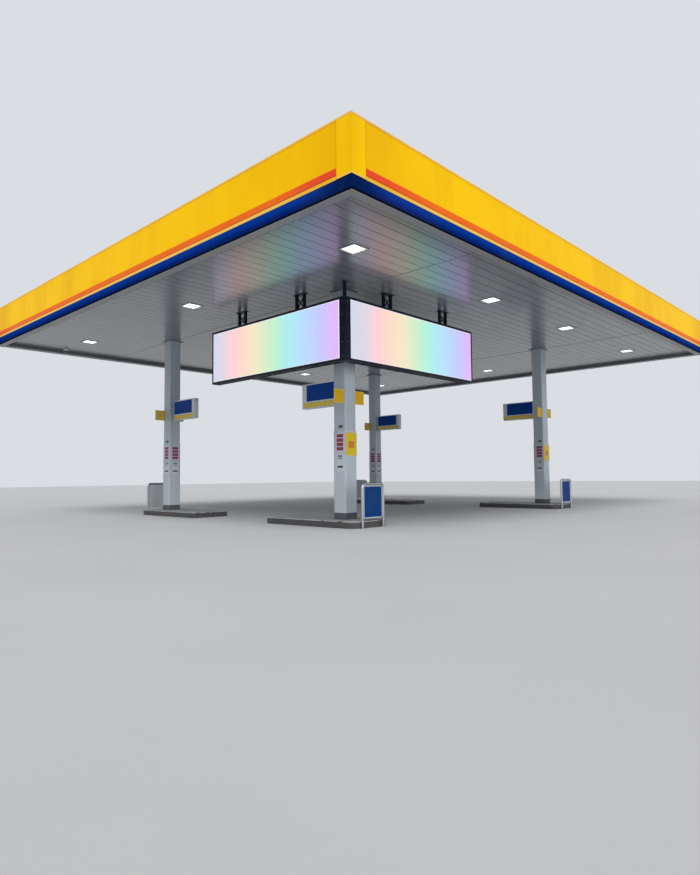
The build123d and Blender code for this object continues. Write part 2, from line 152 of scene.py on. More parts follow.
world = bpy.data.worlds.new("studio")
world.use_nodes = True
scene.world = world
sky = world.node_tree
background = sky.nodes["Background"]
feed(background.inputs["Color"], sky_colour)
feed(background.inputs["Strength"], sky_strength)
path = add("LightPath", tree=sky).outputs
seen = work("MAXIMUM", path["Is Camera Ray"],
            work("MAXIMUM", path["Is Glossy Ray"], path["Is Transmission Ray"]))
shown = add("Background", {"Color": shown_sky_colour, "Strength": 1.0}, tree=sky)
chosen = add("MixShader", {0: seen, 1: background.outputs[0], 2: shown.outputs[0]})
feed(sky.nodes["World Output"].inputs["Surface"], chosen.outputs[0])


def add_sun(name, strength, azimuth, elevation, spread):
    """Add a soft sun at an azimuth, counted from +Y towards +X, and an elevation."""
    lamp = bpy.data.lights.new(name, "SUN")
    lamp.energy = strength
    lamp.angle = math.radians(spread)
    sun = bpy.data.objects.new(name, lamp)
    a, e = math.radians(azimuth), math.radians(elevation)
    source = Vector((math.sin(a) * math.cos(e), math.cos(a) * math.cos(e), math.sin(e)))
    sun.rotation_euler = source.to_track_quat("Z", "Y").to_euler()
    scene.collection.objects.link(sun)


add_sun("key_lamp", key_strength, azimuth=233, elevation=44, spread=35)
add_sun("fill_lamp", fill_strength, azimuth=178, elevation=11, spread=35)


# Islands: each is a cast concrete block that a column stands on. Its top is worn grey, with fine
# pores, scuffs and dark stains.
def dress(names, made):
    """Give CAD nodes a material in place of their own."""
    for name in names:
        for held in nodes[name].material_slots:
            held.material = made


def step(value, start, end):
    """A share that climbs smoothly from 0 at start to 1 at end."""
    return add("MapRange", {"Value": value, "From Min": start, "From Max": end},
               interpolation_type="SMOOTHSTEP").outputs[0]


def times(a, b):
    """One value multiplied by another."""
    return work("MULTIPLY", a, b)


def plus(a, b):
    """One value added to another."""
    return work("ADD", a, b)


def minus(a, b):
    """One value less another."""
    return work("SUBTRACT", a, b)


def raise_relief(surface, height, strength, distance):
    """Give a surface a fine relief of so many metres."""
    bump = add("Bump", {"Height": height, "Strength": strength, "Distance": distance})
    feed(surface["Normal"], bump.outputs[0])


concrete_light = (0.43, 0.435, 0.435)
concrete_dark = (0.25, 0.253, 0.255)
oil_stain = (0.07, 0.065, 0.06)
concrete, surface, place = new_material("cast concrete")
spots = add("TexVoronoi", {"Vector": place, "Scale": 90.0}).outputs["Distance"]
stones = step(spots, 0.15, 0.55)
base = blend(noise(place, 2.2, 6.0), concrete_dark, concrete_light)
base = blend(times(stones, 0.25), base, concrete_dark)
stains = step(noise(place, 1.7, 5.0), 0.54, 0.72)
scuffs = step(noise(place, 1.0, 5.0, (26.0, 4.0, 4.0)), 0.60, 0.72)
soiled = work("MAXIMUM", stains, times(scuffs, 0.7))
feed(surface["Base Color"], blend(times(soiled, 0.6), base, oil_stain))
feed(surface["Roughness"], minus(0.88, times(stains, 0.35)))
raise_relief(surface, plus(times(stones, -0.4), noise(place, 240.0)), 0.5, 0.002)
bays = {"a1": -1, "a2": 1, "b1": -1, "b2": 1}
dress(["island_" + bay for bay in bays], concrete)


# Island edging: bent steel strip round each island. Its face is stained brown and its top edge
# is rubbed pale.
def split(place):
    """The X, Y and Z of a place."""
    return add("SeparateXYZ", {0: place}).outputs


def new_group(name, inputs, outputs):
    """Start a shader node group: it, its given sockets and its result's sockets."""
    group = bpy.data.node_groups.new(name, "ShaderNodeTree")
    for direction, sockets in (("INPUT", inputs), ("OUTPUT", outputs)):
        for socket, kind in sockets.items():
            group.interface.new_socket(socket, in_out=direction, socket_type="NodeSocket" + kind)
    given = group.nodes.new("NodeGroupInput").outputs
    return group, given, group.nodes.new("NodeGroupOutput").inputs


weathered, given, result = new_group(
    "weathered_paint",
    {"Place": "Vector", "Paint": "Color", "Dirt": "Color", "Streaks": "Float",
     "Blotches": "Float", "Fading": "Float", "Evenness": "Float"},
    {"Color": "Color", "Roughness": "Float", "Height": "Float"})
place = given["Place"]
blotch = step(noise(place, 1.1, 6.0), 0.42, 0.72)
streak = step(noise(place, 1.0, 5.0, (9.0, 9.0, 0.5)), 0.50, 0.78)
lie = split(add("NewGeometry", tree=weathered).outputs["Normal"])["Z"]
dust = times(step(lie, 0.3, 0.9), step(noise(place, 3.0, 6.0), 0.30, 0.70))
soiled = plus(times(streak, given["Streaks"]),
              times(work("MAXIMUM", blotch, dust), given["Blotches"]))
faded = blend(times(noise(place, 0.35, 3.0), given["Fading"]), given["Paint"], (0.9, 0.9, 0.9))
feed(result["Color"], blend(soiled, faded, given["Dirt"]))
feed(result["Roughness"], plus(given["Evenness"], times(soiled, 0.4)))
feed(result["Height"], plus(times(noise(place, 150.0, 2.0), 0.35), times(blotch, 0.65)))


def coat(surface, place, paint, dirt, evenness, streaks=0.12, blotches=0.12, fading=0.1,
         relief=0.0006):
    """Cover a surface with weathered paint; evenness is the roughness of its clean stretches."""
    weather = add("Group", {"Place": place, "Paint": paint, "Dirt": dirt, "Streaks": streaks,
                            "Blotches": blotches, "Fading": fading, "Evenness": evenness},
                  node_tree=weathered).outputs
    feed(surface["Base Color"], weather["Color"])
    feed(surface["Roughness"], weather["Roughness"])
    raise_relief(surface, weather["Height"], 0.35, relief)
    return weather["Color"]


edging_paint = (0.048, 0.053, 0.060)
edging_rust = (0.092, 0.056, 0.042)
edging_worn = (0.55, 0.56, 0.57)
rubbed_from = 0.022
rubbed_bare = 0.006
island_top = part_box("island_a1")[1].z
edging, surface, place = new_material("stained edging steel")
patches = step(noise(place, 4.5, 6.0), 0.45, 0.70)
rubbed = times(step(split(place)["Z"], island_top - rubbed_from, island_top - rubbed_bare),
               step(noise(place, 9.0, 4.0), 0.32, 0.5))
face = blend(rubbed, blend(patches, edging_paint, edging_rust), edging_worn)
coat(surface, place, face, (0.034, 0.034, 0.034), evenness=0.55, streaks=0.45, blotches=0.3,
     fading=0.02, relief=0.002)
dress(["island_edging"], edging)


# Columns: steel posts clad in folded white sheet with rounded corners. A second sheet wraps
# their lower part, with a grey skirting at its foot and a dark collar at the soffit.
def painted(name, paint, dirt, evenness, shine=0.5, **amounts):
    """A whole material of weathered paint in one colour."""
    made, surface, place = new_material(name, shine)
    coat(surface, place, paint, dirt, evenness, **amounts)
    return made


column_dirt = (0.20, 0.21, 0.22)
# The white sheet of the columns and sleeves is given a darker blue-grey: painted shade.
dress(["column_" + bay for bay in bays],
      painted("column sheet", (0.46, 0.54, 0.61), column_dirt, 0.34, streaks=0.20, blotches=0.10))
dress(["column_sleeves"],
      painted("sleeve sheet", (0.50, 0.575, 0.64), column_dirt, 0.30, streaks=0.16,
              blotches=0.16))
dress(["column_skirtings"],
      painted("skirting sheet", (0.060, 0.068, 0.080), (0.17, 0.16, 0.145), 0.45, streaks=0.3,
              blotches=0.35, fading=0.03))
dress(["column_collars"],
      painted("collar sheet", (0.12, 0.13, 0.14), (0.25, 0.25, 0.24), 0.5))

column_middle = {}
for bay in bays:
    low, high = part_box("column_" + bay)
    middle = (low + high) / 2
    middle.z = 0
    column_middle[bay] = middle
column_half = (high.x - low.x) / 2
sleeve_low, sleeve_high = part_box("column_sleeves")
skirting_low, skirting_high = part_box("column_skirtings")
collar_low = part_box("column_collars")[0]
sleeve_half = column_middle["a1"].x - sleeve_low.x
skirting_half = column_middle["a1"].x - skirting_low.x
collar_half = column_middle["a1"].x - collar_low.x


# Sleeve beads: a rounded strip closes the top of each sleeve, a second one its foot above the
# skirting.
def make_piece(name, shape, made, smooth_below=35):
    """Turn a bmesh into a piece with its material, its shallow edges shaded smooth."""
    mesh = bpy.data.meshes.new(name)
    shape.to_mesh(mesh)
    shape.free()
    mesh.materials.append(made)
    mesh.shade_smooth()
    mesh.set_sharp_from_angle(angle=math.radians(smooth_below))
    piece = bpy.data.objects.new(name, mesh)
    scene.collection.objects.link(piece)
    return piece


def create_box(shape, low, high):
    """Create a plain box between two opposite corners, given in any order."""
    low, high = Vector(map(min, low, high)), Vector(map(max, low, high))
    return bmesh.ops.create_cube(
        shape, size=1.0, matrix=Matrix.LocRotScale((low + high) / 2, None, high - low))["verts"]


def edges_at(vertices):
    """List the edges at some vertices, each once."""
    return list(dict.fromkeys(edge for vertex in vertices for edge in vertex.link_edges))


def run_of(edge, axis):
    """How far an edge runs along an axis."""
    return abs(edge.verts[0].co[axis] - edge.verts[1].co[axis])


def round_edges(shape, edges, offset, segments):
    """Round some edges."""
    bmesh.ops.bevel(shape, geom=edges, offset=offset, segments=segments, profile=0.5,
                    affect="EDGES", material=-1)


def add_frame(shape, low, high, border, axis, corner=0.0):
    """Add a flat frame: a box with an opening through it along an axis, its corners rounded."""
    before = set(shape.faces)
    made = create_box(shape, low, high)
    if corner:
        posts = [edge for edge in edges_at(made) if run_of(edge, axis) > hair]
        round_edges(shape, posts, corner, segments=4)
    shape.normal_update()
    ends = [face for face in shape.faces if face not in before and abs(face.normal[axis]) > 0.9]
    bmesh.ops.inset_individual(shape, faces=ends, thickness=border, use_even_offset=True)
    rims = list(dict.fromkeys(edge for face in ends for edge in face.edges))
    bmesh.ops.delete(shape, geom=ends, context="FACES_ONLY")
    bmesh.ops.bridge_loops(shape, edges=rims)


def add_square_frame(shape, x, y, half, low_z, high_z, border, corner):
    """Add a level square frame round an upright line."""
    add_frame(shape, (x - half, y - half, low_z), (x + half, y + half, high_z), border, axis=2,
              corner=corner)


hair = 1e-5
bead_height = 0.014
bead_proud = 0.004
bead_bite = 0.004
bead_corner = 0.038
bead_shape = bmesh.new()
for middle in column_middle.values():
    for z, half in ((sleeve_high.z - bead_bite, sleeve_half), (skirting_high.z, skirting_half)):
        reach = half + bead_proud
        add_square_frame(bead_shape, middle.x, middle.y, reach, z - bead_height / 2,
                         z + bead_height / 2, reach - column_half + bead_bite, bead_corner)
sleeve_beads = make_piece(
    "sleeve_beads", bead_shape,
    painted("bead aluminium", (0.58, 0.63, 0.67), column_dirt, 0.28, streaks=0.1))
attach(sleeve_beads, body)


# Column rivets: domed heads in rows up each side of the sleeves, and screws through the
# skirtings and collars.
def add_stud(shape, foot, direction, radius, height, sides=10):
    """Add a head that stands on a surface and points in a direction."""
    direction = Vector(direction)
    middle = Vector(foot) + direction * (height / 2)
    bmesh.ops.create_cone(
        shape, cap_ends=True, segments=sides, radius1=radius, radius2=radius * 0.72,
        depth=height, matrix=Matrix.LocRotScale(middle, direction.to_track_quat("Z", "Y"), None))


compass = {"west": Vector((-1, 0, 0)), "south": Vector((0, -1, 0)),
           "east": Vector((1, 0, 0)), "north": Vector((0, 1, 0))}
rivet_size = (0.006, 0.003)
rivet_rows = 6
rivet_margin = 0.09
rivet_from_middle = 0.150
skirting_rivet_drop = 0.06
collar_rivet_inset = 0.022
rivet_pitch = (sleeve_high.z - skirting_high.z - 2 * rivet_margin) / (rivet_rows - 1)
rivet_shape = bmesh.new()
for middle in column_middle.values():
    for direction in compass.values():
        for side in (-1, 1):
            foot = (middle + direction * sleeve_half
                    + Vector((-direction.y, direction.x, 0)) * (side * rivet_from_middle))
            for i in range(rivet_rows):
                z = skirting_high.z + rivet_margin + i * rivet_pitch
                add_stud(rivet_shape, foot + upright * z, direction, *rivet_size)
            foot += direction * (skirting_half - sleeve_half)
            z = skirting_high.z - skirting_rivet_drop
            add_stud(rivet_shape, foot + upright * z, direction, *rivet_size)
            foot += direction * (collar_half - collar_rivet_inset - skirting_half)
            add_stud(rivet_shape, foot + upright * collar_low.z, -upright, *rivet_size)
column_rivets = make_piece(
    "column_rivets", rivet_shape,
    painted("rivet aluminium", (0.42, 0.47, 0.52), column_dirt, 0.3))
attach(column_rivets, body)

# Notice cards: thin boards on the sleeves, a yellow one or a white one with plain colour bars,
# and a small data card under each. None of them is lettered.
card_gap = 0.0005
card_thickness = 0.004
card_rounding = 0.0004
field_thickness = 0.001
card_offsets = {"west": -0.03, "south": 0.004}
backing_shape = bmesh.new()
field_shapes = {name: bmesh.new() for name in ("yellow", "amber", "red", "navy", "grey")}


def add_block(shape, low, high, rounding, segments=1):
    """Add a box with all its edges rounded."""
    round_edges(shape, edges_at(create_box(shape, low, high)), rounding, segments)


def add_patch(shape, centre, facing, width, low, high, near, far):
    """Add a thin upright patch before a face, between two heights and two distances from it."""
    across = Vector((abs(facing.y), abs(facing.x), 0)) * (width / 2)
    add_block(shape, centre - across + facing * near + upright * low,
              centre + across + facing * far + upright * high, card_rounding)


def add_notice(facing, centre, width, top, height, bars):
    """Add a card flat on a sleeve, with bars given as (colour, width share, from top, height)."""
    add_patch(backing_shape, centre, facing, width, top - height, top, card_gap, card_thickness)
    for colour, share, drop, depth in bars:
        under = card_thickness + (field_thickness if colour == "amber" else 0)
        add_patch(field_shapes[colour], centre, facing, width * share, top - drop - depth,
                  top - drop, under, under + field_thickness)


yellow_card = (0.365, 2.115, 0.53, [("yellow", 0.96, 0.008, 0.514), ("amber", 0.52, 0.20, 0.15)])
red_card = (0.25, 2.100, 0.43, [("red", 0.84, 0.020 + 0.098 * i, 0.080) for i in range(4)])
data_card = (0.23, 1.630, 0.40, [("grey", 0.62, 0.03, 0.05), ("grey", 0.62, 0.10, 0.02),
                                 ("navy", 0.72, 0.27, 0.045)])
for bay, outward in bays.items():
    for side, offset in card_offsets.items():
        facing = compass[side]
        centre = (column_middle[bay] + facing * sleeve_half
                  + Vector((abs(facing.y), abs(facing.x), 0)) * offset)
        if outward < 0 and side == "south":
            add_notice(facing, centre, *yellow_card)
        else:
            add_notice(facing, centre, *red_card)
            add_notice(facing, centre, *data_card)
notice_backings = make_piece(
    "notice_backings", backing_shape,
    painted("card white", (0.62, 0.66, 0.70), (0.35, 0.34, 0.32), 0.35))
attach(notice_backings, body)
notice_paints = {"yellow": ((0.80, 0.58, 0.012), "plate_yellow"),
                 "amber": ((0.68, 0.22, 0.03), "stripe_orange"),
                 "red": ((0.31, 0.045, 0.11), "stripe_orange"),
                 "navy": ((0.025, 0.045, 0.16), "board_blue"),
                 "grey": ((0.20, 0.22, 0.25), "skirting_grey")}
for colour, (paint, slot) in notice_paints.items():
    fields = make_piece("notice_fields_" + colour, field_shapes[colour],
                        painted("card " + colour, paint, (0.35, 0.33, 0.3), 0.32, shine=0.2,
                                blotches=0.05, fading=0.0))
    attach(fields, body)

# Column sensors: a small dark housing with two round eyes, screwed to each column just above
# the sleeve.
sensor_height = 2.25
sensor_off_middle = 0.05
sensor_half_width = 0.048
sensor_half_height = 0.026
sensor_depth = 0.026
sensor_rounding = 0.006
eye_off_middle = 0.022
eye_size = (0.016, 0.010)
sensor_shape = bmesh.new()
for middle in column_middle.values():
    face = Vector((middle.x - column_half, middle.y - sensor_off_middle, sensor_height))
    add_block(sensor_shape,
              face + Vector((-sensor_depth, -sensor_half_width, -sensor_half_height)),
              face + Vector((-card_gap, sensor_half_width, sensor_half_height)),
              sensor_rounding, segments=3)
    for offset in (-eye_off_middle, eye_off_middle):
        add_stud(sensor_shape, face + Vector((-sensor_depth, offset, 0)), compass["west"],
                 *eye_size, sides=20)
column_sensors = make_piece(
    "column_sensors", sensor_shape,
    painted("sensor plastic", (0.03, 0.03, 0.035), (0.2, 0.2, 0.2), 0.4, fading=0.0))
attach(column_sensors, body)

# Flag signs: a white box hung off each column on two arms. Each broad face has a slim frame, a
# blue panel next to the column and a pale yellow band under it, both bare.
flag_dirt = (0.33, 0.32, 0.30)
dress(["flag_sign_" + bay for bay in bays],
      painted("flag box", (0.71, 0.76, 0.80), flag_dirt, 0.28, streaks=0.24, blotches=0.08))
flag_standoff = 0.040
flag_length = 1.150
frame_bite = 0.001
frame_proud = 0.004
frame_border = 0.016
frame_corner = 0.022
panel_gap = 0.012
panel_foot = 0.177
panel_end = 0.15
band_foot = 0.026
band_top = 0.145
band_end = 0.05
film_under = 0.0004
film_over = 0.0024
film_rounding = 0.0008
frame_shape = bmesh.new()
blue_shape = bmesh.new()
band_shape = bmesh.new()
for bay, outward in bays.items():
    low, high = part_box("flag_sign_" + bay)
    near = column_middle[bay].y - outward * (column_half + flag_standoff)
    far = near - outward * flag_length
    panel_near = near - outward * (frame_border + panel_gap)
    for face_x, side in ((low.x, -1), (high.x, 1)):
        under, over = face_x + side * film_under, face_x + side * film_over
        add_frame(frame_shape,
                  (face_x - side * frame_bite, near - outward * frame_bite, low.z + frame_bite),
                  (face_x + side * frame_proud, far + outward * frame_bite, high.z - frame_bite),
                  frame_border, axis=0, corner=frame_corner)
        add_block(blue_shape, (under, panel_near, low.z + panel_foot),
                  (over, far + outward * panel_end, high.z - frame_border - panel_gap),
                  film_rounding)
        add_block(band_shape, (under, panel_near, low.z + band_foot),
                  (over, far + outward * band_end, low.z + band_top), film_rounding)
flag_frames = make_piece(
    "flag_frames", frame_shape,
    painted("flag frame", (0.68, 0.73, 0.77), flag_dirt, 0.3, streaks=0.2))
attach(flag_frames, body)
flag_panels = make_piece(
    "flag_panels", blue_shape,
    painted("flag blue", (0.004, 0.055, 0.32), (0.05, 0.08, 0.20), 0.3, shine=0.05,
            blotches=0.05, fading=0.0))
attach(flag_panels, body)
flag_bands = make_piece(
    "flag_bands", band_shape,
    painted("flag yellow", (0.82, 0.63, 0.10), (0.5, 0.40, 0.16), 0.3, shine=0.15,
            blotches=0.05, fading=0.0))
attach(flag_bands, body)

# Number plates: folded yellow sheet on both sides of each column, with a deeper yellow field
# inside a pale edge and four screws.
dress(["number_plates"],
      painted("plate edge", (0.82, 0.61, 0.12), (0.45, 0.34, 0.12), 0.3, shine=0.15, fading=0.0))
plate_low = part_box("number_plates")[0]
plate_side = 0.310
plate_setback = 0.030
plate_edge = 0.014
field_under = 0.0003
field_over = 0.0018
field_rounding = 0.0006
plate_screw_inset = 0.034
plate_screw_size = (0.006, 0.003)
lifts = {bay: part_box("flag_sign_" + bay)[0].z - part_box("flag_sign_a1")[0].z for bay in bays}
plate_shape = bmesh.new()
plate_screw_shape = bmesh.new()
for bay, outward in bays.items():
    face_y = column_middle[bay].y + outward * (column_half - plate_setback)
    over = face_y + outward * field_over
    low_z = plate_low.z + lifts[bay]
    for side in (-1, 1):
        root = column_middle[bay].x + side * column_half
        add_block(plate_shape,
                  (root + side * plate_edge, face_y + outward * field_under, low_z + plate_edge),
                  (root + side * (plate_side - plate_edge), over, low_z + plate_side - plate_edge),
                  field_rounding)
        for along in (plate_screw_inset, plate_side - plate_screw_inset):
            for up in (plate_screw_inset, plate_side - plate_screw_inset):
                add_stud(plate_screw_shape, (root + side * along, over, low_z + up),
                         (0, outward, 0), *plate_screw_size)
plate_fields = make_piece(
    "plate_fields", plate_shape,
    painted("plate field", (0.79, 0.47, 0.005), (0.45, 0.29, 0.03), 0.3, shine=0.12, fading=0.0))
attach(plate_fields, body)
screw_steel = painted("screw steel", (0.4, 0.4, 0.4), (0.25, 0.2, 0.15), 0.3)
plate_screws = make_piece("plate_screws", plate_screw_shape, screw_steel)
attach(plate_screws, body)


# Guard hoops: bent stainless tube, brushed along its length, with both its feet at an island's
# outer end.
def pull(shape, edges, move):
    """Extrude some edges along a vector; the new vertices and edges."""
    grown = bmesh.ops.extrude_edge_only(shape, edges=edges)["geom"]
    moved = [item for item in grown if isinstance(item, bmesh.types.BMVert)]
    bmesh.ops.translate(shape, verts=moved, vec=move)
    return moved, [item for item in grown if isinstance(item, bmesh.types.BMEdge)]


brushed, surface, place = new_material("brushed stainless")
scratches = noise(place, 1.0, 4.0, (160.0, 160.0, 6.0))
feed(surface["Base Color"], blend(scratches, (0.36, 0.38, 0.41), (0.56, 0.58, 0.61)))
surface["Metallic"].default_value = 1.0
feed(surface["Roughness"], plus(0.24, times(noise(place, 7.0, 5.0), 0.25)))
raise_relief(surface, scratches, 0.25, 0.0005)
hoop_low, hoop_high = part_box("guard_hoops")
tube = 0.060
tube_sides = 32
hoop_bend = 0.090
bend_steps = 12
hoop_axis_half = 0.340
hoop_foot = 0.0005
hoop_shape = bmesh.new()
for bay, outward in bays.items():
    x = column_middle[bay].x
    y = hoop_high.y - tube / 2 if outward > 0 else hoop_low.y + tube / 2
    ring = bmesh.ops.create_circle(
        hoop_shape, cap_ends=False, segments=tube_sides, radius=tube / 2,
        matrix=Matrix.Translation((x - hoop_axis_half, y, hoop_foot)))
    edges = edges_at(ring["verts"])
    bend_z = hoop_high.z - tube / 2 - hoop_bend
    across = 2 * (hoop_axis_half - hoop_bend)
    left_bend = Vector((x - hoop_axis_half + hoop_bend, y, bend_z))
    right_bend = Vector((x + hoop_axis_half - hoop_bend, y, bend_z))
    for move, centre in ((upright * (bend_z - hoop_foot), left_bend),
                         (Vector((across, 0, 0)), right_bend),
                         (upright * (hoop_foot - bend_z), None)):
        moved, edges = pull(hoop_shape, edges, move)
        if centre:
            turned = bmesh.ops.spin(hoop_shape, geom=moved + edges, cent=centre, axis=(0, 1, 0),
                                    angle=math.pi / 2, steps=bend_steps,
                                    use_merge=False)["geom_last"]
            edges = [item for item in turned if isinstance(item, bmesh.types.BMEdge)]
bmesh.ops.remove_doubles(hoop_shape, verts=hoop_shape.verts, dist=0.0001)
bmesh.ops.holes_fill(hoop_shape, edges=hoop_shape.edges, sides=2 * tube_sides)
bmesh.ops.recalc_face_normals(hoop_shape, faces=hoop_shape.faces)
hoop_tubes = make_piece("hoop_tubes", hoop_shape, brushed, smooth_below=50)
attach(hoop_tubes, body)
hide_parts("guard_hoops")

# Guard boards: a white rimmed board fills each hoop, with a blue panel set in its outer face
# and a screw at each corner of the rim.
dress(["guard_boards"],
      painted("board rim", (0.50, 0.53, 0.56), (0.24, 0.23, 0.21), 0.35, streaks=0.35,
              blotches=0.3))
board_low, board_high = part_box("guard_boards")
board_half = 0.3097
board_rim = 0.026
board_recess = 0.005
panel_under = 0.003
panel_over = 0.0003
board_corner = 0.034
board_screws_z = (board_low.z + 0.06, board_high.z - 0.09)
board_screw_size = (0.007, 0.003)
board_shape = bmesh.new()
board_screw_shape = bmesh.new()
for bay, outward in bays.items():
    x = column_middle[bay].x
    face_y = board_high.y if outward > 0 else board_low.y
    reach = board_half - board_rim
    top = board_high.z - board_rim
    made = create_box(
        board_shape,
        (x - reach, face_y - outward * (board_recess - panel_over), board_low.z + board_rim),
        (x + reach, face_y - outward * (board_recess - panel_under), top))
    upper = [edge for edge in edges_at(made) if run_of(edge, axis=0) < hair
             and all(abs(end.co.z - top) < hair for end in edge.verts)]
    round_edges(board_shape, upper, board_corner, segments=6)
    for side in (-1, 1):
        for z in board_screws_z:
            add_stud(board_screw_shape, (x + side * (board_half - board_rim / 2), face_y, z),
                     (0, outward, 0), *board_screw_size)
board_panels = make_piece(
    "board_panels", board_shape,
    painted("board blue", (0.003, 0.048, 0.21), (0.05, 0.08, 0.13), 0.3, shine=0.05,
            streaks=0.25, blotches=0.2, fading=0.0))
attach(board_panels, body)
board_screws = make_piece("board_screws", board_screw_shape, screw_steel)
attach(board_screws, body)

# Roof steel: beams lie over the columns and purlins across them. Both are rolled steel in grey
# primer, streaked with rust.
dress(["main_beams", "purlins"],
      painted("steel primer", (0.30, 0.31, 0.32), (0.16, 0.12, 0.09), 0.6, streaks=0.3,
              blotches=0.3, relief=0.0015))


# Roof sheeting: ribbed galvanized sheet, with a screw through every rib at each purlin. Each
# sheet is a shade off its neighbours, and dust lies on the flats.
def tone_by_number(number):
    """A tone from 0 to 1 of its own for each whole number."""
    return add("TexWhiteNoise", {"W": work("FLOOR", number)}, noise_dimensions="1D").outputs[0]


sheet_cover = 0.999
sheeting, surface, place = new_material("roof sheeting")
spangle = split(add("TexVoronoi", {"Vector": place, "Scale": 45.0}).outputs["Color"])["X"]
sheet_tone = tone_by_number(work("DIVIDE", split(place)["X"], sheet_cover))
zinc = blend(spangle, (0.38, 0.39, 0.40), (0.47, 0.48, 0.49))
coat(surface, place, blend(times(sheet_tone, 0.4), zinc, (0.30, 0.31, 0.32)),
     (0.20, 0.18, 0.16), evenness=0.42, streaks=0.1, blotches=0.5)
dress(["roof_deck"], sheeting)
deck_low, deck_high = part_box("roof_deck")
purlin_low, purlin_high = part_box("purlins")
rib_pitch = 0.333
rib_base = 0.090
purlin_count = 7
purlin_half = 0.040
washer_size = (0.013, 0.002)
head_size = (0.007, 0.006)
rib_count = int((deck_high.x - deck_low.x - rib_base) // rib_pitch)
first_purlin = purlin_low.y + purlin_half
purlin_pitch = (purlin_high.y - purlin_low.y - 2 * purlin_half) / (purlin_count - 1)
screw_shape = bmesh.new()
for row in range(purlin_count):
    for i in range(rib_count):
        x = (deck_low.x + deck_high.x) / 2 + (i - (rib_count - 1) / 2) * rib_pitch
        spot = Vector((x, first_purlin + row * purlin_pitch, deck_high.z))
        add_stud(screw_shape, spot, upright, *washer_size, sides=8)
        add_stud(screw_shape, spot + upright * washer_size[1], upright, *head_size, sides=6)
roof_screws = make_piece(
    "roof_screws", screw_shape,
    painted("roof screw steel", (0.33, 0.33, 0.34), (0.2, 0.14, 0.1), 0.4))
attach(roof_screws, body)

# Fascia light boxes: yellow translucent faces lit from inside, over a cream strip and a band of
# painted shade for the thin gap above the valance. Their backs are plain folded sheet.
roof_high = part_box("fascia_cap")[1]
box_low, box_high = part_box("fascia_south")
stripe_low, stripe_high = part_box("fascia_stripes")
corner_inner_x = box_high.x
corner_inner_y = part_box("fascia_west")[1].y
fascia_yellow = (0.90, 0.53, 0.001)
fascia_deep = (0.82, 0.46, 0.001)
fascia_shaded_end = (0.76, 0.40, 0.001)
fascia_dirt = (0.55, 0.30, 0.02)
fascia_cream = (0.80, 0.49, 0.10)
black = (0, 0, 0)
gap_painted_shade = (0.010, 0.010, 0.014)
back_sheet = (0.46, 0.47, 0.48)
back_joint = (0.16, 0.16, 0.16)
back_dirt = (0.25, 0.24, 0.22)
lit_share = 0.56
face_depth = 0.05
dark_gap = 0.008
end_shade = (1.6, 0.1)
corner_joint_and_shade = (0.020, 0.004)
back_seam_pitch = 1.45


def from_end(parts, axis, end):
    """How far a place lies in from the nearer end of a run along an axis."""
    return minus(end, work("ABSOLUTE", parts[axis]))


def from_roof_edge(parts, edge):
    """How far a place lies out from a rectangle with the given corner; 0 on its outline."""
    return work("MAXIMUM", minus(work("ABSOLUTE", parts["X"]), edge.x),
                minus(work("ABSOLUTE", parts["Y"]), edge.y))


def joints(parts, pitch, width):
    """A mask of narrow upright joints every pitch along both sides of the roof."""
    return step(work("PINGPONG", plus(parts["X"], parts["Y"]), pitch / 2), width, width / 2)


def light_up(surface, lit, colour):
    """Light a surface from behind in its own colour, where lit is 1."""
    feed(surface["Base Color"], blend(lit, colour, blend(1 - lit_share, colour, black)))
    feed(surface["Emission Color"], blend(lit, black, colour))
    surface["Emission Strength"].default_value = lit_share


def fascia_face(name, cream_top, run=None, run_end=0.0):
    """Make a lit face: yellow over cream up to cream_top, painted shade at the gap and the run's
    ends.
    """
    made, surface, place = new_material(name, shine=0.04)
    parts = split(place)
    front = step(from_roof_edge(parts, roof_high), -face_depth - 0.005, -face_depth + 0.005)
    warmth = plus(times(noise(place, 1.0, 2.0, (1.1, 1.1, 0.35)), 0.9),
                  times(noise(place, 1.0, 1.0, (5.0, 5.0, 0.02)), 0.1))
    yellow = blend(step(warmth, 0.30, 0.60), fascia_deep, fascia_yellow)
    face = blend(step(parts["Z"], cream_top - 0.001, cream_top + 0.001), fascia_cream, yellow)
    # The foot of the face over the gap is painted near black: painted shade.
    dark = step(parts["Z"], box_low.z + dark_gap, box_low.z + dark_gap - 0.001)
    if run:
        near_end = from_end(parts, run, run_end)
        # Towards the corners the face is painted darker: painted shade where the inner light falls
        # off.
        face = blend(times(0.7, step(near_end, *end_shade)), face, fascia_shaded_end)
        # The joint by the corner box is a real dark joint, widened into a soft fade of painted
        # shade.
        dark = work("MAXIMUM", dark, times(0.8, step(near_end, *corner_joint_and_shade)))
    back = blend(joints(parts, back_seam_pitch, 0.008), back_sheet, back_joint)
    face = blend(front, back, blend(dark, face, gap_painted_shade))
    colour = coat(surface, place, face, blend(front, back_dirt, fascia_dirt), evenness=0.42,
                  streaks=0.05, blotches=0.05, fading=0.0)
    light_up(surface, front, colour)
    return made


dress(["fascia_south", "fascia_north"],
      fascia_face("fascia face along x", stripe_low.z, "X", corner_inner_x))
dress(["fascia_west", "fascia_east"],
      fascia_face("fascia face along y", stripe_low.z, "Y", corner_inner_y))
corner_cream = 0.034
dress(["fascia_corners"], fascia_face("corner box face", box_low.z + corner_cream))

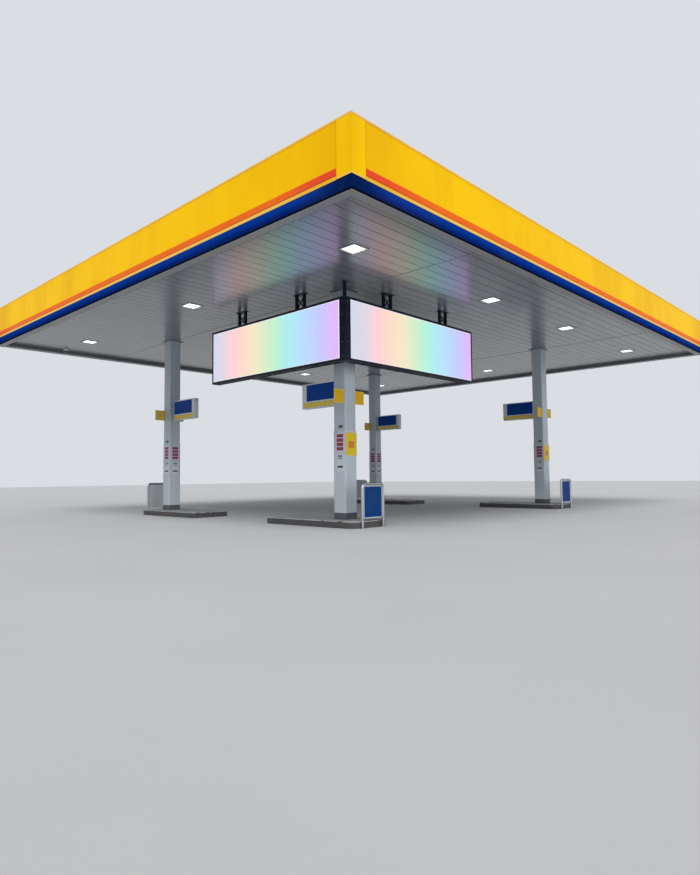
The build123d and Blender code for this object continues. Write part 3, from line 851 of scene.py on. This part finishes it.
# Corner box trims: a slim folded strip closes the joint between each corner box and the face
# beside it, and an angle covers its outer corner.
trim_width = 0.012
trim_proud = 0.0025
trim_bite = 0.006
angle_width = 0.014
trim_rounding = 0.001
corner_face = 0.005
trim_foot = box_low.z + corner_cream
trim_top = box_high.z - 0.002
strip_shape = bmesh.new()
for sx in (-1, 1):
    for sy in (-1, 1):
        face_x = sx * (roof_high.x - corner_face)
        face_y = sy * (roof_high.y - corner_face)
        over_x = face_x + sx * trim_proud
        over_y = face_y + sy * trim_proud
        inner_x = sx * corner_inner_x
        inner_y = sy * corner_inner_y
        for x1, y1, x2, y2 in (
                (inner_x, face_y - sy * trim_bite, sx * (corner_inner_x + trim_width), over_y),
                (face_x - sx * trim_bite, inner_y, over_x, sy * (corner_inner_y + trim_width)),
                (face_x - sx * angle_width, face_y - sy * angle_width, over_x, over_y)):
            add_block(strip_shape, (x1, y1, trim_foot), (x2, y2, trim_top), trim_rounding)
strip_paint_and_glow, surface, place = new_material("corner trim strip", shine=0.04)
# The sheet strips glow like the lit faces: painted light.
light_up(surface, 1.0, coat(surface, place, (0.80, 0.45, 0.001), fascia_dirt, evenness=0.5,
                            fading=0.0))
corner_strips = make_piece("corner_strips", strip_shape, strip_paint_and_glow)
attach(corner_strips, body)


# Fascia stripe: an orange strip that stands proud of the faces. Its top edge has a painted
# highlight, its lower edge painted shade, and painted shade makes it darker and redder at its ends.
def from_corner(parts, end_x, end_y):
    """How far a place on a side of the roof lies in from the nearer end of that side."""
    return work("MAXIMUM", from_end(parts, "X", end_x), from_end(parts, "Y", end_y))


stripe_band = 0.016
stripe_highlight_edge = 0.008
stripe_shade_edge = 0.006
orange, surface, place = new_material("stripe film", shine=0.04)
parts = split(place)
stripe = blend(noise(place, 1.3, 3.0, (1.0, 1.0, 0.5)), (0.74, 0.115, 0.010),
               (0.84, 0.160, 0.012))
# Darker and redder towards the ends: painted shade.
stripe = blend(step(from_corner(parts, corner_inner_x, corner_inner_y), *end_shade), stripe,
               (0.74, 0.062, 0.022))
# Painted highlight along the top edge.
stripe = blend(step(parts["Z"], stripe_high.z - stripe_band, stripe_high.z - stripe_highlight_edge),
               stripe, (0.86, 0.33, 0.012))
# Painted shade along the lower edge.
stripe = blend(step(parts["Z"], stripe_low.z + stripe_band, stripe_low.z + stripe_shade_edge), stripe,
               (0.42, 0.06, 0.012))
light_up(surface, 1.0, coat(surface, place, stripe, (0.35, 0.07, 0.02), evenness=0.4,
                            streaks=0.08, blotches=0.05, fading=0.0))
dress(["fascia_stripes"], orange)

# Cap: thin folded sheet that closes the top of the light boxes, butted every three metres, with
# a painted warm glow along its drip edge.
sheet_length = 3.0
joint_width = 0.004
drip_edge_glow = (-0.004, -0.002)
cap, surface, place = new_material("cap sheet", shine=0.1)
parts = split(place)
cap_paint = blend(joints(parts, sheet_length, joint_width), (0.80, 0.46, 0.10),
                  (0.2, 0.12, 0.04))
# The drip edge glows: painted light from the boxes.
light_up(surface, step(from_roof_edge(parts, roof_high), *drip_edge_glow),
         coat(surface, place, cap_paint, (0.35, 0.30, 0.2), evenness=0.4, streaks=0.1,
              blotches=0.25, fading=0.02))
dress(["fascia_cap"], cap)

# Valance: blue folded sheet under the light boxes. Its turned-in lower edge is painted nearly
# black, and the blue is painted deeper downwards and near the corners, all as painted shade.
valance_low, valance_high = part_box("valance")
valance_face = (-0.015, -0.013)
valance_shade = (1.1, 0.1)
shade_deepest_at = valance_low.z + 0.01
shade_clear_from = valance_high.z - 0.03
valance_sheet = 2.9
blue, surface, place = new_material("valance sheet", shine=0.0)
parts = split(place)
outer = step(from_roof_edge(parts, roof_high), *valance_face)
# The blue is painted deeper downwards: painted shade.
tone = blend(step(parts["Z"], shade_deepest_at, shade_clear_from), (0.001, 0.015, 0.13), (0.001, 0.040, 0.33))
# Near the corners the blue is painted darker: painted shade.
tone = blend(step(from_corner(parts, roof_high.x, roof_high.y), *valance_shade), tone,
             (0.002, 0.014, 0.085))
tone = blend(joints(parts, valance_sheet, joint_width), tone, (0.002, 0.006, 0.04))
# Every face but the outer one is painted nearly black: painted shade.
coat(surface, place, blend(outer, (0.004, 0.006, 0.018), tone), (0.06, 0.07, 0.11),
     evenness=0.34, streaks=0.08, blotches=0.08, fading=0.0)
dress(["valance"], blue)

# Soffit: white sheet trays laid side by side along X, with a narrow groove between each two, in
# three bays. Their lacquer is semi-gloss, and each tray is a shade off its neighbours.
tray_count = 54
groove_width = 0.010
groove_depth = 0.010
groove_lean = 0.002
groove_from = 0.001
groove_to = 0.006
sheet_thickness = 0.001
light_places = [(x, y) for x in (-7.06, -2.15, 2.03, 6.85) for y in (-5.82, -0.28, 5.50)]
light_hole = 0.176
column_hole = 0.181
hole_reach = 0.2
soffit_low, soffit_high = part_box("soffit_bay_2")
tray_pitch = (soffit_high.y - soffit_low.y) / tray_count
soffit, surface, place = new_material("soffit sheet", shine=0.05)
parts = split(place)
tray_tone = tone_by_number(work("DIVIDE", minus(parts["Y"], soffit_low.y), tray_pitch))
# The white trays, and the cover strips that share their material, are painted dark grey: painted
# shade.
shaded_tray_paint = blend(tray_tone, (0.125, 0.138, 0.160), (0.150, 0.163, 0.185))
groove = step(parts["Z"], soffit_low.z + groove_from, soffit_low.z + groove_to)
coat(surface, place, blend(groove, shaded_tray_paint, (0.105, 0.112, 0.125)), (0.15, 0.15, 0.15),
     evenness=0.5, streaks=0.0, blotches=0.16, fading=0.03, relief=0.0004)
surface["Coat Weight"].default_value = 1.0
surface["Coat Roughness"].default_value = 0.22
surface["Coat IOR"].default_value = 2.0
holes = [(x, y, light_hole) for x, y in light_places]
holes += [(middle.x, middle.y, column_hole) for middle in column_middle.values()]
for number in (1, 2, 3):
    low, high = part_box("soffit_bay_" + str(number))
    sheet = bmesh.new()
    profile = [(0.0, groove_depth)]
    for i in range(tray_count):
        start = i * tray_pitch + groove_width / 2
        end = (i + 1) * tray_pitch - groove_width / 2
        profile += [(start, groove_depth), (start + groove_lean, 0.0), (end - groove_lean, 0.0),
                    (end, groove_depth)]
    profile.append((tray_count * tray_pitch, groove_depth))
    line = [sheet.verts.new((low.x, low.y + along, low.z + rise)) for along, rise in profile]
    edges = [sheet.edges.new(pair) for pair in zip(line, line[1:])]
    pull(sheet, edges, (high.x - low.x, 0, 0))
    inside = [hole for hole in holes if low.x - hole_reach < hole[0] < high.x + hole_reach]
    sides = [(x + side * half, y + side * half) for x, y, half in inside for side in (-1, 1)]
    cuts = [((x, 0, 0), (1, 0, 0)) for x in sorted({round(x, 5) for x, y in sides})]
    cuts += [((0, y, 0), (0, 1, 0)) for y in sorted({round(y, 5) for x, y in sides})]
    for spot, normal in cuts:
        bmesh.ops.bisect_plane(sheet, geom=sheet.verts[:] + sheet.edges[:] + sheet.faces[:],
                               plane_co=spot, plane_no=normal)
    centres = {face: face.calc_center_median() for face in sheet.faces}
    cut = [face for face, centre in centres.items()
           if any(abs(centre.x - x) < half and abs(centre.y - y) < half for x, y, half in inside)]
    bmesh.ops.delete(sheet, geom=cut, context="FACES")
    bmesh.ops.recalc_face_normals(sheet, faces=sheet.faces)
    if sum(face.normal.z * face.calc_area() for face in sheet.faces) > 0:
        bmesh.ops.reverse_faces(sheet, faces=sheet.faces)
    bmesh.ops.solidify(sheet, geom=sheet.faces[:], thickness=sheet_thickness)
    trays = make_piece("soffit_trays_" + str(number), sheet, soffit, smooth_below=20)
    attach(trays, body)
    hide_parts("soffit_bay_" + str(number))

# Edge trim and cover strips: grey folded sheet closes the soffit's edge inside the valance, and
# flat strips cover the joints at the column lines. The trim is butted every three metres.
trim_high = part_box("edge_trim")[1]
trim_lip = (-0.030, -0.022)
trim_flange = (-0.170, -0.178)
trim, surface, place = new_material("edge trim sheet", shine=0.3)
parts = split(place)
from_edge = from_roof_edge(parts, trim_high)
tone = blend(step(from_edge, *trim_lip), (0.22, 0.23, 0.245), (0.33, 0.335, 0.34))
tone = blend(step(from_edge, *trim_flange), tone, (0.10, 0.105, 0.11))
coat(surface, place, blend(joints(parts, sheet_length, joint_width), tone, (0.08, 0.08, 0.08)),
     (0.22, 0.21, 0.2), evenness=0.35, streaks=0.1, blotches=0.2)
dress(["edge_trim"], trim)
dress(["cover_strips"], soffit)

# Lights: square recessed housings. Each has a slim dark seal, a raised rim with four screws, and
# a bright lens made of rows of round cells.
light_dirt = (0.3, 0.3, 0.3)
dress(["downlights"], painted("light housing", (0.50, 0.52, 0.54), light_dirt, 0.35))
light_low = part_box("downlights")[0]
rim_half = 0.192
rim_drop = 0.004
rim_rise = 0.002
seal_half = 0.215
seal_from = 0.003
seal_to = 0.0075
light_screw_reach = 0.198
light_screw_size = (0.005, 0.0025)
cell = 0.038
lens_glow = 2.2
lens, surface, place = new_material("light lens")
parts = split(place)
cell_x = minus(work("PINGPONG", parts["X"], cell / 2), cell / 4)
cell_y = minus(work("PINGPONG", parts["Y"], cell / 2), cell / 4)
off = work("SQRT", plus(times(cell_x, cell_x), times(cell_y, cell_y)))
glow = blend(step(off, cell * 0.20, cell * 0.24), (1.0, 1.0, 1.0), (0.62, 0.72, 0.85))
feed(surface["Emission Color"], glow)
surface["Emission Strength"].default_value = lens_glow
feed(surface["Base Color"], glow)
feed(surface["Roughness"], plus(0.2, times(noise(place, 12.0), 0.3)))
dress(["light_lenses"], lens)
rim_shape = bmesh.new()
seal_shape = bmesh.new()
light_screw_shape = bmesh.new()
for x, y in light_places:
    add_square_frame(rim_shape, x, y, rim_half, light_low.z - rim_drop, light_low.z + rim_rise,
                     border=0.020, corner=0.010)
    add_square_frame(seal_shape, x, y, seal_half, light_low.z + seal_from,
                     light_low.z + seal_to, border=0.014, corner=0.006)
    for sx in (-light_screw_reach, light_screw_reach):
        for sy in (-light_screw_reach, light_screw_reach):
            add_stud(light_screw_shape, (x + sx, y + sy, light_low.z), -upright,
                     *light_screw_size)
light_rims = make_piece("light_rims", rim_shape,
                        painted("light rim", (0.42, 0.44, 0.46), light_dirt, 0.3))
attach(light_rims, body)
light_seals = make_piece(
    "light_seals", seal_shape,
    painted("seal rubber", (0.03, 0.03, 0.032), (0.2, 0.2, 0.2), 0.7, fading=0.0))
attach(light_seals, body)
light_screws = make_piece("light_screws", light_screw_shape,
                          painted("light screw steel", (0.4, 0.4, 0.4), light_dirt, 0.3))
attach(light_screws, body)

# Display screens: two lit matrix faces built of square modules. They glow in soft upright bands
# that run through the rainbow, set in a dark frame.
rainbow = [(0.00, (0.49, 0.52, 0.62)), (0.10, (0.56, 0.51, 0.59)), (0.19, (0.75, 0.48, 0.51)),
           (0.28, (0.75, 0.53, 0.43)), (0.38, (0.69, 0.60, 0.43)), (0.47, (0.52, 0.64, 0.44)),
           (0.56, (0.36, 0.67, 0.50)), (0.65, (0.32, 0.63, 0.67)), (0.76, (0.37, 0.54, 0.78)),
           (0.87, (0.43, 0.44, 0.79)), (0.97, (0.59, 0.36, 0.71))]
glare_colour = (0.68, 0.69, 0.74)
seam_colour = (0.17, 0.17, 0.2)
screen_glow = 1.32
rim_glare = 0.016
end_glare = (0.006, 0.990)
module_size = 0.32
seam_width = 0.0012
bezel = 0.050
lit_recess = 0.006
recess_slack = 0.001


def ramp(share, stops):
    """A colour that runs through stops of (place, colour)."""
    node = add("ValToRGB", {"Fac": share})
    elements = node.color_ramp.elements
    elements[0].position = stops[0][0]
    elements[1].position = stops[-1][0]
    for spot, colour in stops[1:-1]:
        elements.new(spot)
    for element, (spot, colour) in zip(elements, stops):
        element.color = (*colour, 1)
    return node.outputs["Color"]


def between(value, low, high):
    """A mask that is 1 where a value lies between two others."""
    return times(step(value, low - 0.0005, low + 0.0005), step(value, high + 0.0005, high - 0.0005))


def screen_face(name, axis, start, end, across, front):
    """Make a lit screen whose bands run from start to end along one axis."""
    made, surface, place = new_material(name, shine=0.25)
    parts = split(place)
    along = parts[axis]
    height = parts["Z"]
    share = add("MapRange", {"Value": along, "From Min": start, "From Max": end}).outputs[0]
    drift = minus(noise(place, 3.0, 2.0, (1, 1, 0.02)), 0.5)
    bands = ramp(plus(share, times(drift, 0.05)), rainbow)
    face_place = add("CombineXYZ", {0: along, 1: height}).outputs[0]
    seams = add("TexBrick", {"Vector": face_place, "Scale": 1.0, "Mortar Size": seam_width,
                             "Brick Width": module_size, "Row Height": module_size,
                             "Mortar Smooth": 0.1}, offset=0.0).outputs["Fac"]
    bands = blend(times(seams, 0.2), bands, seam_colour)
    reach = bezel + rim_glare
    middle = times(between(height, screen_low.z + reach, screen_high.z - reach),
                   between(share, *end_glare))
    depth = work("ABSOLUTE", minus(parts[across], front))
    lit = times(between(depth, lit_recess - recess_slack, lit_recess + recess_slack),
                between(height, screen_low.z + bezel, screen_high.z - bezel))
    coat(surface, place, (0.010, 0.014, 0.026), (0.05, 0.05, 0.05), evenness=0.5, fading=0.0)
    feed(surface["Emission Color"], blend(lit, black, blend(middle, glare_colour, bands)))
    surface["Emission Strength"].default_value = screen_glow
    return made


screen_low, screen_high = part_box("display_screen_right")
left_low, left_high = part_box("display_screen_left")
dress(["display_screen_right"],
      screen_face("right screen", "X", screen_low.x, screen_high.x, "Y", screen_low.y))
dress(["display_screen_left"],
      screen_face("left screen", "Y", left_high.y, left_low.y, "X", left_low.x))


# Screen edges: slim angle strips of dark sheet run round each lit face. They are fixed to the
# screen's housing and hold its modules in.
def arm_spot(flipped, along, depth, z):
    """A point given along a display arm and into its depth from the outer corner."""
    x, y = (depth, along) if flipped else (along, depth)
    return Vector((left_low.x + x, screen_low.y + y, z))


arm = 4.980
lit_start = 0.170
edge_lap = 0.007
edge_half = 0.003
edge_width = 0.011
edge_shape = bmesh.new()
for flipped in (False, True):
    add_frame(edge_shape,
              arm_spot(flipped, lit_start - edge_lap, -edge_half,
                       screen_low.z + bezel - edge_lap),
              arm_spot(flipped, arm - bezel + edge_lap, edge_half,
                       screen_high.z - bezel + edge_lap),
              edge_width, axis=0 if flipped else 1)
screen_edges = make_piece(
    "screen_edges", edge_shape,
    painted("screen edge", (0.012, 0.018, 0.036), (0.06, 0.06, 0.07), 0.35, shine=0.25,
            fading=0.0))
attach(screen_edges, body)

# Display frame: a welded lattice of dark square bars behind the screens, hung on twin posts.
# Bolts hold the screens to the bars and the posts to the roof.
dark_steel = painted("dark frame steel", (0.007, 0.013, 0.032), (0.022, 0.030, 0.052), 0.36,
                     shine=0.12, streaks=0.1, blotches=0.2, fading=0.0)
dress(["display_frame_right", "display_frame_left", "display_corner_post", "display_hangers"],
      dark_steel)
truss_start = 0.230
truss_bar = 0.040
truss_bays = 8
truss_rows = (0.110, 0.210)
truss_bolt_size = (0.012, 0.008)
hanger_offsets = (1.600, 3.850)
hanger_middle = 0.160
hanger_plate = 0.012
plate_bolt_along = 0.165
plate_bolt_depth = 0.045
plate_bolt_size = (0.011, 0.009)
post_bolt_along = 0.08
post_bolt_heights = [0.10 + 0.30 * i for i in range(5)]
post_bolt_size = (0.009, 0.005)
foot_z = screen_high.z + hanger_plate
head_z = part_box("display_hangers")[1].z - hanger_plate
bay_length = (arm - truss_bar - truss_start) / truss_bays
bolt_shape = bmesh.new()
for flipped in (False, True):
    for i in range(truss_bays + 1):
        for depth in truss_rows:
            spot = arm_spot(flipped, truss_start + i * bay_length + truss_bar / 2, depth, 0)
            for z, direction in ((screen_low.z, -upright), (screen_high.z, upright)):
                add_stud(bolt_shape, spot + upright * z, direction, *truss_bolt_size, sides=6)
    for offset in hanger_offsets:
        for along in (-plate_bolt_along, plate_bolt_along):
            for depth in (-plate_bolt_depth, plate_bolt_depth):
                spot = arm_spot(flipped, offset + along, hanger_middle + depth, 0)
                for z, direction in ((foot_z, upright), (head_z, -upright)):
                    add_stud(bolt_shape, spot + upright * z, direction, *plate_bolt_size, sides=6)
    for rise in post_bolt_heights:
        add_stud(bolt_shape, arm_spot(flipped, post_bolt_along, 0, screen_low.z + rise),
                 compass["west"] if flipped else compass["south"], *post_bolt_size)
frame_bolts = make_piece(
    "frame_bolts", bolt_shape,
    painted("frame bolt steel", (0.20, 0.21, 0.23), (0.15, 0.12, 0.1), 0.3))
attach(frame_bolts, body)

# Hanger braces: crossed flat bars between each pair of posts, one bar behind the other where
# they cross.
brace_width = 0.034
brace_thickness = 0.008
brace_rounding = 0.0015
brace_offset = 0.006
brace_inset = 0.035
post_half_gap = 0.118
brace_shape = bmesh.new()
for flipped in (False, True):
    width, thickness = brace_width, brace_thickness
    if flipped:
        width, thickness = thickness, width
    for offset in hanger_offsets:
        for lean in (1, -1):
            depth = hanger_middle - lean * brace_offset
            start = arm_spot(flipped, offset - lean * post_half_gap, depth, foot_z + brace_inset)
            end = arm_spot(flipped, offset + lean * post_half_gap, depth, head_z - brace_inset)
            run = end - start
            placed = Matrix.LocRotScale((start + end) / 2, run.to_track_quat("Z", "Y"), None)
            made = bmesh.ops.create_cube(
                brace_shape, size=1.0,
                matrix=placed @ Matrix.Diagonal((width, thickness, run.length, 1)))["verts"]
            round_edges(brace_shape, edges_at(made), brace_rounding, segments=2)
hanger_braces = make_piece("hanger_braces", brace_shape, dark_steel)
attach(hanger_braces, body)

# Dome camera: a white plastic base on the edge of the soffit, with a smoked half dome under it.
# Both are turned from one outline.
dome_low, dome_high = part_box("dome_camera")
dome_middle = (dome_low + dome_high) / 2
base_height = 0.045
base_radius = 0.083
base_chamfer = 0.004
dome_radius = 0.068
dome_turns = 40
dome_paint, surface, place = new_material("dome camera shell")
base_foot = dome_high.z - base_height
coat(surface, place, blend(step(split(place)["Z"], base_foot - 0.002, base_foot),
                           (0.02, 0.02, 0.025), (0.70, 0.71, 0.72)),
     (0.3, 0.3, 0.3), evenness=0.15, fading=0.0)
dome_shape = bmesh.new()
dome_line = [(0.0, 0.0), (base_radius, 0.0), (base_radius, -base_height + base_chamfer),
             (base_radius - base_chamfer, -base_height), (dome_radius, -base_height)]
dome_line += [(dome_radius * math.cos(math.radians(a)),
               -base_height - dome_radius * math.sin(math.radians(a))) for a in range(9, 91, 9)]
line = [dome_shape.verts.new((dome_middle.x + r, dome_middle.y, dome_high.z + z))
        for r, z in dome_line]
edges = [dome_shape.edges.new(pair) for pair in zip(line, line[1:])]
bmesh.ops.spin(dome_shape, geom=line + edges, cent=(dome_middle.x, dome_middle.y, 0),
               axis=(0, 0, 1), angle=2 * math.pi, steps=dome_turns, use_merge=True)
bmesh.ops.remove_doubles(dome_shape, verts=dome_shape.verts, dist=0.0002)
bmesh.ops.recalc_face_normals(dome_shape, faces=dome_shape.faces)
dome_shell = make_piece("dome_shell", dome_shape, dome_paint)
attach(dome_shell, body)
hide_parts("dome_camera")
